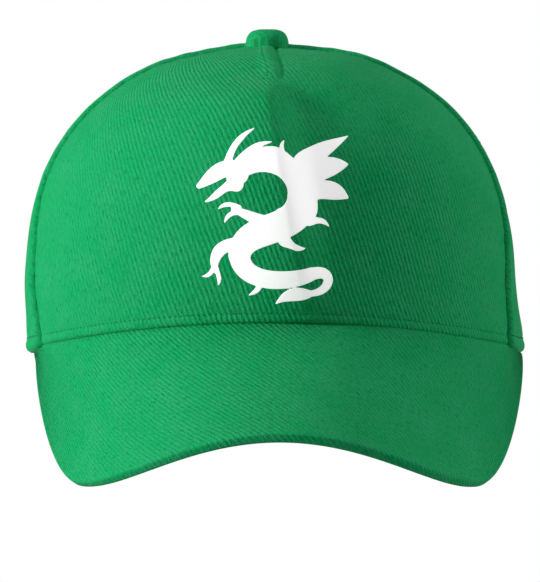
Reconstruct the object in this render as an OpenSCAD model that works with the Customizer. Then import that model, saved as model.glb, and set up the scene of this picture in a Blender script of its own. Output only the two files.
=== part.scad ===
// Five-panel cap with a curved visor and a hook-and-loop strap, in mm.
// +Z is up, the visor points to -Y, and +X is the viewer's right when the cap is seen from the front.
// The origin is the middle of the head opening, level with the rim at the sides.
// Angles round the crown start at the front (0), grow towards +X and reach 180 at the back.

/* [Crown] */
// Half of the crown's width at the rim
half_width = 88; // [78:1:98]
// Half of the crown's length, front to back, at the rim
half_length = 100; // [90:1:112]
// Height of the crown above the rim at the sides
crown_height = 109.5; // [95:0.5:120]
// How far the rim rises at the middle of the front
front_rise = 18.5; // [12:0.5:24]
// Thickness of the brushed cotton twill
cloth = 0.9; // [0.7:0.1:1.1]
// Thickness of the stiff lining behind the front panel
backing = 0.7; // [0.5:0.1:0.9]
// Angle of the front panel's side seams at the rim
front_seam = 67; // [62:1:70]
// Angle of the seams between the side and back panels at the rim
back_seam = 122; // [116:1:126]

/* [Visor] */
// How far forward the visor's edge reaches from the origin
visor_reach = 165; // [155:1:175]
// How far the visor's free edge sits to the right of the crown's middle
visor_sway = 1.4; // [0:0.1:2]
// Thickness of the visor's stiff board
board = 1.7; // [1.4:0.1:2]
// Thickness of each cloth cover on the board
visor_cloth = 0.8; // [0.6:0.1:0.9]

/* [Inside] */
// Height of the sweatband
band_height = 32; // [26:1:34]
// Thickness of the sweatband
band_thickness = 1.4; // [1:0.1:1.6]
// Width of the tapes over the seams
tape_width = 15; // [10:1:17]

/* [Back] */
// Half of the back opening's angle
opening_angle = 29; // [25:1:31]
// Height of the back opening
opening_height = 48; // [42:1:54]
// Height of the closing strap
strap_height = 22; // [18:1:24]
// Thickness of the closing strap
strap_thickness = 1.2; // [1:0.1:1.3]

/* [Top] */
// Diameter of the covered button
button_diameter = 15.4; // [13:0.2:17]
// Height of the covered button above the crown
button_height = 5.4; // [4.4:0.2:6.4]
// Inner radius of the eyelets
eyelet_radius = 2; // [1.6:0.1:2.4]
// Height of the eyelets above the rim
eyelet_level = 76; // [70:1:82]

/* [Hidden] */
$fn = 48;
gap = 0.1;
rise_end = 107;
seam_gap = 0.15;
apex_gap = 0.005;
side_power = [2.2, 3.1];
front_power = [2.3, 3.2];
back_power = [2.1, 2.6];
backing_out = -cloth - gap;
tape_out = backing_out - backing - 0.35;
tape_thickness = 0.5;
band_out = -3.9;
strap_out = -1.9;
flap_out = 0.9;
strap_low = 4;
visor_half_angle = 77;
visor_drop = 0.6;
visor_tuck = 3.6;
visor_thickness = board + 2 * visor_cloth + 2 * gap;
film = 0.3;
pole = crown_height;

// ---- small vector helpers ----

function unit(v) = v / norm(v);
function mix(a, b, k) = a + (b - a) * k;

// ---- the crown's outer surface ----

// Height of the rim, which arches over the forehead.
function rim_z(t) =
    abs(t) < rise_end ? front_rise * (0.5 + 0.5 * cos(t * 180 / rise_end)) : 0;

// The profile's powers, blended from the sides to the front and the back.
function powers(t) =
    side_power
    + (front_power - side_power) * pow(max(cos(t), 0), 2)
    + (back_power - side_power) * pow(max(-cos(t), 0), 2);

// A point at angle t and at v of the way from the rim (0) to the top (1).
function crown_point(t, v) =
    let (
        lift = 90 * pow(min(max(v, 0), 1), 1.6),
        p = powers(t),
        r = pow(max(cos(lift), 0), 2 / p[0]),
        h = pow(max(sin(lift), 0), 2 / p[1]),
        z0 = rim_z(t)
    )
    [half_width * sin(t) * r, -half_length * cos(t) * r, z0 + (pole - z0) * h];

function crown_normal(t, v) =
    let (
        vv = max(v, 0.01),
        round_it = crown_point(t + 0.5, vv) - crown_point(t - 0.5, vv),
        up_it = crown_point(t, min(vv + 0.01, 0.999)) - crown_point(t, vv - 0.01)
    )
    unit(cross(round_it, up_it));

// The same point moved along the surface's normal; positive is outwards.
function crown_at(t, v, out) = crown_point(t, v) + out * crown_normal(t, v);

// The v at which the surface at angle t reaches height z.
function level(t, z) =
    let (
        h = min(max((z - rim_z(t)) / (pole - rim_z(t)), 0), 1),
        lift = asin(pow(h, powers(t)[1] / 2))
    )
    pow(lift / 90, 1 / 1.6);

// ---- seams ----

function front_seam_at(v) = front_seam + 19 * pow(v, 0.9);
function back_seam_at(v) = back_seam + 11 * v;
top_v = 1 - apex_gap;

// Edge of the back panel: along the rim, then round the arch of the opening. c runs 0 to 1.
function back_edge(c) =
    let (
        foot = 180 - opening_angle,
        turn = 0.35,
        a = 90 * (c - turn) / (1 - turn)
    )
    c < turn
        ? [mix(back_seam, foot, c / turn), 0]
        : let (t = 180 - opening_angle * cos(a)) [t, level(t, opening_height * sin(a))];

// ---- solids between two grids of points ----

// A closed solid between an outer and an inner grid of the same size.
module between(outer, inner) {
    rows = len(outer);
    columns = len(outer[0]);
    count = rows * columns;
    points = [for (layer = [outer, inner]) for (row = layer) each row];
    function id(i, j) = i * columns + j;
    top = [for (i = [0:rows - 2]) for (j = [0:columns - 2])
        each [[id(i, j), id(i + 1, j), id(i + 1, j + 1)], [id(i, j), id(i + 1, j + 1), id(i, j + 1)]]];
    bottom = [for (f = top) [f[2] + count, f[1] + count, f[0] + count]];
    border = [
        for (j = [0:columns - 2]) id(0, j),
        for (i = [0:rows - 2]) id(i, columns - 1),
        for (j = [columns - 1:-1:1]) id(rows - 1, j),
        for (i = [rows - 1:-1:1]) id(i, 0)
    ];
    walls = [for (k = [0:len(border) - 1])
        let (a = border[k], b = border[(k + 1) % len(border)])
        each [[a, b, b + count], [a, b + count, a + count]]];
    polyhedron(points, concat(top, bottom, walls));
}

// A patch of the crown. place(a, b) gives [angle, v] for a and b from 0 to 1.
module crown_patch(place, out_a, out_b, steps_a, steps_b) {
    between(
        [for (i = [0:steps_a]) [for (j = [0:steps_b])
            let (q = place(i / steps_a, j / steps_b)) crown_at(q[0], q[1], out_a)]],
        [for (i = [0:steps_a]) [for (j = [0:steps_b])
            let (q = place(i / steps_a, j / steps_b)) crown_at(q[0], q[1], out_b)]]
    );
}

// ---- panels ----

module front_panel() {
    color("seagreen")
    crown_patch(
        function (a, b) [(2 * a - 1) * (front_seam_at(b * top_v) - seam_gap), b * top_v],
        0, -cloth, 40, 24);
}

module side_panel_right() {
    color("mediumseagreen")
    difference() {
        crown_patch(
            function (a, b) [
                mix(front_seam_at(b * top_v) + seam_gap, back_seam_at(b * top_v) - seam_gap, a), b * top_v],
            0, -cloth, 16, 24);
        eyelet_hole(side_eyelet);
    }
}

module back_panel_right() {
    color("seagreen")
    difference() {
        crown_patch(
            function (a, b)
                let (edge = back_edge(a), top = mix(back_seam + 11 * top_v, 180, a))
                [mix(edge[0], top, b) + seam_gap * (1 - 2 * a), mix(edge[1], top_v, b)],
            0, -cloth, 22, 20);
        eyelet_hole(back_eyelet);
    }
}

module side_panel_left() {
    mirror([1, 0, 0]) side_panel_right();
}

module back_panel_left() {
    mirror([1, 0, 0]) back_panel_right();
}

module front_panel_backing() {
    color("white")
    crown_patch(
        function (a, b) let (v = mix(0.02, 0.88, b)) [(2 * a - 1) * (front_seam_at(v) - 7), v],
        backing_out, backing_out - backing, 24, 18);
}

// ---- tapes inside the crown ----

// A tape of fixed width along a seam; path(b) gives [angle, v].
module tape(path, width, steps) {
    color("darkgreen")
    crown_patch(
        function (a, b)
            let (
                q = path(b),
                reach = norm([crown_point(q[0], q[1])[0], crown_point(q[0], q[1])[1]]),
                half = min(width / 2 / max(reach, 8) * 180 / PI, 22)
            )
            [q[0] + (2 * a - 1) * half, q[1]],
        tape_out, tape_out - tape_thickness, 4, steps);
}

module seam_tape_front_right() {
    tape(function (b) let (v = mix(0.03, 0.955, b)) [front_seam_at(v), v], tape_width, 20);
}

module seam_tape_side_right() {
    tape(function (b) let (v = mix(0.03, 0.955, b)) [back_seam_at(v), v], tape_width, 20);
}

module seam_tape_back() {
    arch_v = level(180, opening_height + 11);
    tape(function (b) [180, mix(arch_v, 0.955, b)], tape_width, 12);
}

module front_dart_tape() {
    tape(function (b) [0, mix(0.74, 0.955, b)], tape_width * 0.7, 8);
}

module seam_tape_front_left() {
    mirror([1, 0, 0]) seam_tape_front_right();
}

module seam_tape_side_left() {
    mirror([1, 0, 0]) seam_tape_side_right();
}

// The sweatband runs round the head from one side of the back opening to the other.
module sweatband() {
    end = 180 - opening_angle - 3;
    color("darkseagreen")
    crown_patch(
        function (a, b) let (t = mix(-end, end, a)) [t, level(t, rim_z(t) + mix(1, band_height, b))],
        band_out, band_out - band_thickness, 64, 4);
}

// ---- visor ----

// A point of a cubic Bezier curve.
function bezier(p, k) =
    pow(1 - k, 3) * p[0] + 3 * pow(1 - k, 2) * k * p[1] + 3 * (1 - k) * k * k * p[2] + pow(k, 3) * p[3];

// Where the visor is sewn to the rim, for s from -1 (left end) to 1 (right end).
function visor_root(s) =
    let (t = s * visor_half_angle)
    [half_width * sin(t), -half_length * cos(t), rim_z(t) - visor_drop];

// The visor's free edge: a front curve to the low corner and a side curve back to the rim.
function visor_edge(s) =
    let (
        corner_at = 0.52,
        front = -visor_reach,
        corner = [67, front + 42, -32],
        turn = [13.2, 26.2, -2.2],
        front_curve = [[0, front, -11.5], [31, front, -11.5], corner - 1.1 * turn, corner],
        side_curve = [corner, corner + 0.92 * turn, [half_width - 2.2, front + 103, 2.8],
            visor_root(1) + [-0.5, -3, -0.5]],
        k = abs(s),
        p = k < corner_at
            ? bezier(front_curve, k / corner_at)
            : bezier(side_curve, (k - corner_at) / (1 - corner_at))
    )
    [sign(s) * p[0] + visor_sway * min(1, 12 * (1 - k)), p[1], p[2]];

// The direction square to the visor, the same all along one line from the rim to the edge.
function visor_up(s) =
    let (
        k = max(min(s, 0.85), -0.85),
        outward = visor_edge(k) - visor_root(k),
        along = visor_edge(k + 0.02) - visor_edge(k - 0.02) + visor_root(k + 0.02) - visor_root(k - 0.02)
    )
    unit(cross(outward, along));

// A point at s, at r of the way out, moved along visor_up by out. The free edge is held back by edge_in.
function visor_at(s, r, out, edge_in) =
    let (root = visor_root(s), edge = visor_edge(s))
    mix(root, edge - unit(edge - root) * edge_in, r) + visor_up(s) * out;

// The same for the strip that is tucked in level under the crown.
function visor_tucked(s, out, tuck) =
    let (t = s * visor_half_angle)
    visor_root(s) + visor_up(s) * out
    - unit([sin(t) / half_width, -cos(t) / half_length, 0]) * tuck;

visor_end = 0.965;
visor_columns = 56;
visor_rows = 5;

// A layer of the visor, tucked in by tuck under the crown. edge_in holds its free edge back.
module visor_layer(out_a, out_b, tuck, edge_in) {
    function face(out) = [for (i = [0:visor_columns]) let (s = visor_end * (2 * i / visor_columns - 1))
        concat([visor_tucked(s, out, tuck)],
            [for (j = [(tuck > 0 ? 0 : 1):visor_rows]) visor_at(s, j / visor_rows, out, edge_in)])];
    between(face(out_a), face(out_b));
}

module visor_board() {
    color("gray")
    visor_layer(-visor_cloth - gap, -visor_cloth - gap - board, 0, 1.4);
}

module visor_top_cover() {
    color("mediumseagreen")
    visor_layer(0, -visor_cloth, visor_tuck, 0);
}

module visor_under_cover() {
    color("seagreen")
    visor_layer(-visor_thickness + visor_cloth, -visor_thickness, visor_tuck, 0);
}

// ---- button ----

// A dome with a flat underside, hollowed by a smaller one.
module dome(radius, height, wall) {
    rotate_extrude()
    difference() {
        intersection() {
            scale([radius, height]) circle(1, $fn = 96);
            square([radius, height]);
        }
        if (wall > 0)
            intersection() {
                scale([radius - wall, height - wall]) circle(1, $fn = 96);
                translate([0, -1]) square([radius, height + 1]);
            }
    }
}

button_level = pole + 0.1;
stud_depth = cloth + 2.3;

module button_cover() {
    color("mediumseagreen")
    translate([0, 0, button_level]) dome(button_diameter / 2, button_height, 0.8);
}

module button_shell() {
    color("silver")
    translate([0, 0, button_level]) dome(button_diameter / 2 - 0.9, button_height - 0.9, 0.6);
}

module button_stud() {
    color("silver")
    translate([0, 0, pole - stud_depth]) {
        cylinder(h = stud_depth + button_height - 1.7, r = 1.1);
        cylinder(h = 0.8, r = 2.2);
    }
}

module button_washer() {
    color("dimgray")
    translate([0, 0, pole - cloth - 1.4])
    difference() {
        cylinder(h = 1, r = 6.5);
        translate([0, 0, -1]) cylinder(h = 3, r = 1.2);
    }
}

// ---- eyelets ----

side_eyelet = 96;
back_eyelet = 151;

// Puts its children on the crown at angle t and the eyelets' level, with their +Z pointing outwards.
module on_crown(t) {
    v = level(t, eyelet_level);
    n = crown_normal(t, v);
    translate(crown_point(t, v)) rotate([0, acos(n[2]), atan2(n[1], n[0])]) children();
}

module eyelet_hole(t) {
    on_crown(t) translate([0, 0, -5]) cylinder(h = 10, r = eyelet_radius + 0.5, $fn = 24);
}

// A thread-wrapped ring on both faces of the cloth, joined through the hole.
module eyelet(t) {
    color("darkgreen")
    on_crown(t)
    rotate_extrude()
    translate([eyelet_radius, 0])
    union() {
        translate([0, -cloth - 1.1]) square([0.4, cloth + 1.8]);
        translate([0, 0.2]) square([1.8, 0.5]);
        translate([0, -cloth - 1.1]) square([1.8, 0.5]);
    }
}

module eyelet_side_right() {
    eyelet(side_eyelet);
}

module eyelet_side_left() {
    mirror([1, 0, 0]) eyelet(side_eyelet);
}

module eyelet_back_right() {
    eyelet(back_eyelet);
}

module eyelet_back_left() {
    mirror([1, 0, 0]) eyelet(back_eyelet);
}

// ---- back opening and strap ----

module back_opening_binding() {
    color("darkgreen")
    crown_patch(
        function (a, b)
            let (
                turn = mix(4, 176, a),
                t = 180 - (opening_angle + 5.5 * b) * cos(turn),
                z = (opening_height + 9 * b) * sin(turn)
            )
            [t, level(t, z + 1)],
        backing_out, backing_out - 0.6, 40, 3);
}

// A level band on the crown from angle t_a to t_b between two heights.
// lift(k) moves it outwards by a different amount along its length.
module level_band(t_a, t_b, z_a, z_b, thickness, lift, steps) {
    function face(side) = [for (i = [0:steps])
        let (k = i / steps, t = mix(t_a, t_b, k))
        [for (z = [z_a, mix(z_a, z_b, 0.5), z_b]) crown_at(t, level(t, z), lift(k) - side * thickness)]];
    between(face(0), face(1));
}

strap_high = strap_low + strap_height;

// The strap's hinge line is just inside the arch, where the arch is narrowest beside the strap.
hinge_angle = 180 + opening_angle * cos(asin(strap_high / opening_height)) - 1.8;

module loop_strap() {
    color("forestgreen")
    level_band(138, 197, strap_low, strap_high, strap_thickness, function (k) strap_out, 22);
}

module loop_patch() {
    color("darkgreen")
    level_band(158, 196, strap_low + 1, strap_high - 1, 0.5, function (k) strap_out + 0.6, 14);
}

module strap_root() {
    color("forestgreen")
    level_band(hinge_angle + 0.5, 222, strap_low, strap_high, strap_thickness, function (k) strap_out, 8);
}

// The moving end of the strap leaves the root and steps out over the loop strap.
module strap_flap() {
    step = 0.14;
    color("forestgreen")
    level_band(160, hinge_angle, strap_low, strap_high, strap_thickness,
        function (k) mix(flap_out, strap_out, max(0, (k - 1 + step) / step)), 24);
}

module hook_patch() {
    color("black")
    level_band(162, 193, strap_low + 1.5, strap_high - 1.5, 0.6,
        function (k) flap_out - strap_thickness - 0.05, 12);
}

// ---- print on the front panel ----

// Each brush stroke of the dragon is a cubic Bezier curve of four [x, z] points, in mm from the
// origin, and its half width at the start, the middle and the end.
body = [
    [[[-14, 66], [-4, 78], [11, 70], [9, 57]], [2.2, 4.4, 5]],
    [[[9, 60], [8, 47], [-11, 52], [-12, 41]], [5, 4.8, 3.6]],
    [[[-12, 43], [-13, 31], [5, 32], [12, 35]], [3.6, 3, 2.2]],
    [[[11, 34.6], [20, 38], [20, 28.5], [11, 28.5]], [2.2, 1.6, 0.9]],
    [[[13, 28.8], [9, 27.5], [5, 30], [0, 25]], [0.4, 2.2, 0.1]]
];
head = [
    [[[-12, 67], [-16, 72], [-20, 67], [-25, 63.5]], [3, 2.6, 0.8]],
    [[[-13, 64], [-17, 64], [-19, 60], [-23, 58.5]], [2.4, 1.2, 0.2]],
    [[[-13, 70], [-10, 75], [-6, 77], [-1, 77.5]], [1.6, 1, 0.1]],
    [[[-16, 70], [-15, 76], [-12, 79.5], [-7, 82]], [1.4, 1, 0.1]]
];
wing = [
    [[[6, 62], [7, 76], [15, 79], [25, 84]], [2, 3.4, 0.1]],
    [[[8, 62], [12, 74], [19, 73], [25, 73.5]], [2, 4, 0.1]],
    [[[9, 60], [15, 67], [20, 64], [25, 61]], [2, 3.4, 0.1]]
];
legs = [
    [[[2, 54], [-3, 50], [-8, 54], [-14, 56]], [2.4, 1.8, 0.8]],
    [[[-12, 56.5], [-15, 58], [-17, 58], [-19, 56]], [0.8, 0.7, 0.1]],
    [[[-12, 55], [-15, 55], [-16, 54], [-17, 51.5]], [0.8, 0.7, 0.1]],
    [[[-10, 44], [-16, 46], [-21, 43], [-20, 36]], [2.6, 2, 0.8]],
    [[[-20, 38], [-21, 35], [-22, 34], [-24, 34]], [0.8, 0.7, 0.1]],
    [[[-20, 38], [-19, 35], [-18, 33], [-19, 31]], [0.8, 0.7, 0.1]]
];
spines = [
    [[[3, 71], [3, 74], [1, 76], [3, 79]], [1.8, 0.8, 0.1]],
    [[[11, 53], [14, 53], [16, 54], [18, 51]], [2, 1, 0.1]],
    [[[3, 46], [6, 44], [7, 43], [10, 43.5]], [2, 1, 0.1]],
    [[[-14, 38], [-17, 36], [-17, 34], [-20, 32]], [0.1, 0.1, 0.1]],
    [[[-4, 34], [-5, 31], [-6, 29], [-9, 28]], [1.6, 0.9, 0.1]]
];

function half_at(w, k) = k < 0.5 ? mix(w[0], w[1], sin(180 * k)) : mix(w[2], w[1], sin(180 * k));

// A stroke as a flat outline, up one side and back down the other.
module stroke(p, w) {
    steps = 12;
    function side(k, way) =
        let (ahead = unit(bezier(p, min(k + 0.02, 1)) - bezier(p, max(k - 0.02, 0))))
        bezier(p, k) + way * half_at(w, k) * [-ahead[1], ahead[0]];
    polygon(concat(
        [for (i = [0:steps]) side(i / steps, 1)],
        [for (i = [steps:-1:0]) side(i / steps, -1)]
    ));
}

// The dragon's outline stands in front of the panel and cuts its shape out of a thin film on it.
module front_print() {
    color("white")
    intersection() {
        crown_patch(
            function (a, b) let (t = mix(-17.5, 17.5, a)) [t, level(t, mix(23, 86, b))],
            film + 0.05, 0.05, 14, 18);
        rotate([90, 0, 0]) linear_extrude(2 * half_length)
        for (s = concat(body, head, wing, legs, spines)) stroke(s[0], s[1]);
    }
}

front_panel();
side_panel_left();
side_panel_right();
back_panel_left();
back_panel_right();
front_panel_backing();
front_dart_tape();
seam_tape_front_left();
seam_tape_front_right();
seam_tape_side_left();
seam_tape_side_right();
seam_tape_back();
sweatband();
visor_board();
visor_top_cover();
visor_under_cover();
button_cover();
button_shell();
button_stud();
button_washer();
eyelet_side_left();
eyelet_side_right();
eyelet_back_left();
eyelet_back_right();
back_opening_binding();
loop_strap();
loop_patch();
strap_root();
strap_flap();
hook_patch();
front_print();
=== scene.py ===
"""Looks of the five-panel cap: cloth panels, visor, button, strap and print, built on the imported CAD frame.

Lengths in this script are millimetres until a mesh is made, where MM turns them into metres.
Angles round the crown start at the front (0), grow towards +X and reach 180 at the back.
"""
import math

import bmesh
import bpy
import numpy as np
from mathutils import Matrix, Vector


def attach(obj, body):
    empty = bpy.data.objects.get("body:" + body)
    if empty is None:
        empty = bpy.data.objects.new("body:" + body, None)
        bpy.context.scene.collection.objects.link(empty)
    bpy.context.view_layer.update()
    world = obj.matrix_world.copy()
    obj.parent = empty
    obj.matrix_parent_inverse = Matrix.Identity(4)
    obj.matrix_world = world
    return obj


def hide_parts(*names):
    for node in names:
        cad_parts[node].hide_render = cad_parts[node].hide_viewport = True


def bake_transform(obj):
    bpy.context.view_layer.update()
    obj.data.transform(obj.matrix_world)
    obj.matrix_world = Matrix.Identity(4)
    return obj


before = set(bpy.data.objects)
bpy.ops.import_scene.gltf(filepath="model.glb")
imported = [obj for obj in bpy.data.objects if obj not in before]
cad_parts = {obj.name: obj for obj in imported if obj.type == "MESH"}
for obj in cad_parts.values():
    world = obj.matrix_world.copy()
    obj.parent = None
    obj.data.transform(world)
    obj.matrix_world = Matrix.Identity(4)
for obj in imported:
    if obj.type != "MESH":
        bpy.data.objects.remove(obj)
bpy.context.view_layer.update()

MM = 0.001

# ---- sizes shared with the CAD part ----
HALF_WIDTH = 88.0
HALF_LENGTH = 100.0
CROWN_HEIGHT = 109.5
FRONT_RISE = 18.5
RISE_END = 107.0
SIDE_POWER = (2.2, 3.1)
FRONT_POWER = (2.3, 3.2)
BACK_POWER = (2.1, 2.6)
CLOTH = 0.9
BACKING = 0.7
BACKING_OUT = -1.0
TAPE_OUT = -2.05
TAPE_THICKNESS = 0.5
TAPE_WIDTH = 15.0
BAND_OUT = -3.9
BAND_THICKNESS = 1.4
BAND_HEIGHT = 32.0
FRONT_SEAM = 67.0
BACK_SEAM = 122.0
TOP_V = 0.995
OPENING_ANGLE = 29.0
OPENING_HEIGHT = 48.0
STRAP_LOW = 4.0
STRAP_HIGH = 26.0
STRAP_THICKNESS = 1.2
STRAP_OUT = -1.9
FLAP_OUT = 0.9
VISOR_HALF_ANGLE = 77.0
VISOR_REACH = 165.0
VISOR_DROP = 0.6
VISOR_THICKNESS = 3.5
VISOR_TUCK = 3.6
VISOR_SWAY = 1.4
BUTTON_DIAMETER = 15.4
BUTTON_HEIGHT = 5.4
EYELET_LEVEL = 76.0
EYELET_RADIUS = 2.0
SIDE_EYELET = 96.0
BACK_EYELET = 151.0


# ---- camera, lights and floor ----

WHITE = (1.0, 1.0, 1.0, 1.0)


def add_object(name, data):
    obj = bpy.data.objects.new(name, data)
    bpy.context.scene.collection.objects.link(obj)
    return obj


def aim(obj, target):
    """Turns obj so that its -Z axis points at the target."""
    way = Vector(target) - obj.location
    obj.rotation_euler = way.to_track_quat("-Z", "Y").to_euler()


def make_camera():
    distance = 1.5
    elevation = math.radians(5.3)
    looked_at = (-0.00197, 0.0, 0.0215)
    data = bpy.data.cameras.new("camera")
    data.lens = 259.0
    data.sensor_width = 36.0
    data.clip_end = 1000.0
    cam = add_object("camera", data)
    cam.location = (0.0, -distance * math.cos(elevation), distance * math.sin(elevation))
    aim(cam, looked_at)
    bpy.context.scene.camera = cam


def area_light(name, place, target, size, power):
    data = bpy.data.lights.new(name, "AREA")
    data.shape = "DISK"
    data.size = size
    data.energy = power
    light = add_object(name, data)
    light.location = place
    aim(light, target)


def coloured(nodes, kind, colour):
    node = nodes.new(kind)
    node.inputs["Color"].default_value = colour
    return node


def seen_apart(tree, lit, seen):
    """Mixes two shaders: the camera sees the second, and all other light meets the first."""
    path = tree.nodes.new("ShaderNodeLightPath")
    pick = tree.nodes.new("ShaderNodeMixShader")
    tree.links.new(path.outputs["Is Camera Ray"], pick.inputs["Fac"])
    tree.links.new(lit.outputs[0], pick.inputs[1])
    tree.links.new(seen.outputs[0], pick.inputs[2])
    return pick.outputs["Shader"]


def make_world():
    """A white backdrop that lights the cap only softly."""
    world = bpy.data.worlds.new("studio")
    world.use_nodes = True
    tree = world.node_tree
    soft = tree.nodes["Background"]
    soft.inputs["Color"].default_value = WHITE
    soft.inputs["Strength"].default_value = 0.24
    seen = coloured(tree.nodes, "ShaderNodeBackground", WHITE)
    tree.links.new(seen_apart(tree, soft, seen), tree.nodes["World Output"].inputs["Surface"])
    bpy.context.scene.world = world


def make_studio():
    make_world()
    bpy.context.scene.view_settings.view_transform = "Standard"
    area_light("key", (-1.95, -0.62, 0.5), (0.0, 0.0, 0.04), 0.5, 41.0)
    area_light("top", (-0.2, 0.2, 1.5), (0.0, 0.0, 0.05), 0.9, 6.2)
    area_light("side", (1.6, 0.1, 0.3), (0.0, 0.0, 0.05), 0.6, 9.0)


def make_floor():
    """A wide pale floor, well below the cap, which is shown held up as on a head."""
    size = 300.0
    height = -0.32
    corners = [(-size, -size, height), (size, -size, height), (size, size, height), (-size, size, height)]
    mesh = bpy.data.meshes.new("floor")
    mesh.from_pydata(corners, [], [(0, 1, 2, 3)])
    mat = bpy.data.materials.new("floor_pale")
    mat.use_nodes = True
    tree = mat.node_tree
    tree.nodes.clear()
    lit = coloured(tree.nodes, "ShaderNodeBsdfDiffuse", (0.5, 0.5, 0.5, 1.0))
    seen = coloured(tree.nodes, "ShaderNodeEmission", WHITE)
    out = tree.nodes.new("ShaderNodeOutputMaterial")
    tree.links.new(seen_apart(tree, lit, seen), out.inputs["Surface"])
    mesh.materials.append(mat)
    add_object("floor", mesh)


# ---- the crown's surface ----

def smooth(x, low, high):
    """0 below low, 1 above high, and an even step between them."""
    k = np.clip((np.asarray(x, float) - low) / (high - low), 0.0, 1.0)
    return k * k * (3.0 - 2.0 * k)


def mix(a, b, k):
    return a + (b - a) * k


def rim_z(t):
    t = np.abs(t)
    return np.where(t < RISE_END, FRONT_RISE * (0.5 + 0.5 * np.cos(np.radians(t * 180.0 / RISE_END))), 0.0)


def powers(t):
    """How square the crown is round its plan and up its side, at angle t."""
    c = np.cos(np.radians(t))
    front, back = np.clip(c, 0, 1) ** 2, np.clip(-c, 0, 1) ** 2
    return [side + (at_front - side) * front + (at_back - side) * back
            for side, at_front, at_back in zip(SIDE_POWER, FRONT_POWER, BACK_POWER)]


def crown(t, v):
    """Points at angle t and at v of the way from the rim (0) to the top (1)."""
    t, v = np.broadcast_arrays(np.asarray(t, float), np.clip(np.asarray(v, float), 0.0, 1.0))
    lift = np.radians(90.0 * v ** 1.6)
    p, q = powers(t)
    reach = np.clip(np.cos(lift), 0.0, 1.0) ** (2.0 / p)
    rise = np.clip(np.sin(lift), 0.0, 1.0) ** (2.0 / q)
    low = rim_z(t)
    return np.stack([
        HALF_WIDTH * np.sin(np.radians(t)) * reach,
        -HALF_LENGTH * np.cos(np.radians(t)) * reach,
        low + (CROWN_HEIGHT - low) * rise], -1)


def norm(v):
    return np.linalg.norm(v, axis=-1)


def unit(v):
    return v / np.maximum(norm(v)[..., None], 1e-12)


def crown_normal(t, v):
    v = np.maximum(v, 0.01)
    round_it = crown(t + 0.5, v) - crown(t - 0.5, v)
    up_it = crown(t, np.minimum(v + 0.01, 0.999)) - crown(t, v - 0.01)
    return unit(np.cross(round_it, up_it))


def level(t, z):
    """The v at which the surface at angle t reaches height z."""
    low = rim_z(t)
    h = np.clip((z - low) / (CROWN_HEIGHT - low), 0.0, 1.0)
    lift = np.degrees(np.arcsin(h ** (powers(t)[1] / 2.0)))
    return (lift / 90.0) ** (1.0 / 1.6)


def front_seam(v):
    return FRONT_SEAM + 19.0 * np.clip(v, 0.0, 1.0) ** 0.9


def back_seam(v):
    return BACK_SEAM + 11.0 * v


def front_lean(y, z):
    """How far forward and how far up the front of the crown faces at y and z."""
    tall = CROWN_HEIGHT - FRONT_RISE
    p, q = FRONT_POWER
    forward = p / HALF_LENGTH * np.clip(-y / HALF_LENGTH, 0.01, 1.0) ** (p - 1.0)
    upward = q / tall * np.clip((z - FRONT_RISE) / tall, 0.0, 1.0) ** (q - 1.0)
    length = np.hypot(forward, upward)
    return forward / length, upward / length


LEAN = 2.0
RIDGE_HEIGHT = 3.2
RIDGE_WIDTHS = (30.0, 9.0)
HOLLOW_DEPTH = 5.0
HOLLOW_WIDTH = 66.0
SLUMP = 1.4


def settle(p):
    """The soft set of the worn-in crown, the same for every layer at a place.

    The sides lean a little to -X, and the front has a ridge below its dart that runs down and to
    +X, with a long hollow beside it. The top is a little lower round the button.
    """
    x, y, z = p[..., 0], p[..., 1], p[..., 2]
    at_front = smooth(-y, 35.0, 80.0)
    lean = -LEAN * smooth(z, 0.0, 30.0) * np.maximum(smooth(np.abs(x), 10.0, 55.0), smooth(z, 103.0, 109.0))
    ridge_x = mix(10.0, -4.0, np.clip((z - 18.0) / 75.0, 0.0, 1.0))
    beside = x - ridge_x
    ridge_in = smooth(z, 12.0, 40.0) * (1.0 - smooth(z, 92.0, 104.0)) * at_front
    ridge = RIDGE_HEIGHT * np.exp(-(beside / np.where(beside < 0, *RIDGE_WIDTHS)) ** 2) * ridge_in
    hollow_in = ridge_in * smooth(z, 15.0, 60.0)
    across = smooth(beside, 0.0, 14.0) * (1.0 - smooth(beside, 14.0, HOLLOW_WIDTH))
    hollow = -HOLLOW_DEPTH * across * hollow_in
    waves = 0.35 * np.sin(x / 11.0 + z / 17.0) * np.sin(z / 13.0 - x / 23.0 + y / 19.0)
    from_top = np.hypot(x + 5.0, y)
    slump = (-SLUMP * smooth(z, 60.0, 98.0) * smooth(from_top, 25.0, 60.0)
             - np.exp(-((from_top - 19.0) / 14.0) ** 2) * smooth(z, 85.0, 100.0))
    out = unit(np.stack([x / HALF_WIDTH ** 2, y / HALF_LENGTH ** 2, np.zeros_like(z)], -1))
    moved = p + out * (waves * smooth(z, 4.0, 24.0))[..., None]
    forward, upward = front_lean(y, z)
    moved[..., 0] += lean
    moved[..., 1] -= forward * (ridge + hollow)
    moved[..., 2] += upward * (ridge + hollow) + slump
    return moved


def crown_at(t, v, out):
    """Settled points of the crown, moved outwards along the surface's normal by out."""
    out = np.asarray(out, float)[..., None]
    return settle(crown(t, v) + out * crown_normal(t, v))


# ---- meshes ----

def link_mesh(name, points, faces, cloth=None):
    """Makes an object from points in mm. cloth holds each point's place on the flat cloth, in mm."""
    mesh = bpy.data.meshes.new(name)
    mesh.from_pydata([tuple(p) for p in np.asarray(points, float) * MM], [], faces)
    mesh.shade_smooth()
    if cloth is not None:
        layer = mesh.attributes.new("cloth_mm", "FLOAT_VECTOR", "POINT")
        flat = np.zeros((len(points), 3), np.float32)
        flat[:, :2] = cloth
        layer.data.foreach_set("vector", flat.ravel())
    return add_object(name, mesh)


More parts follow.
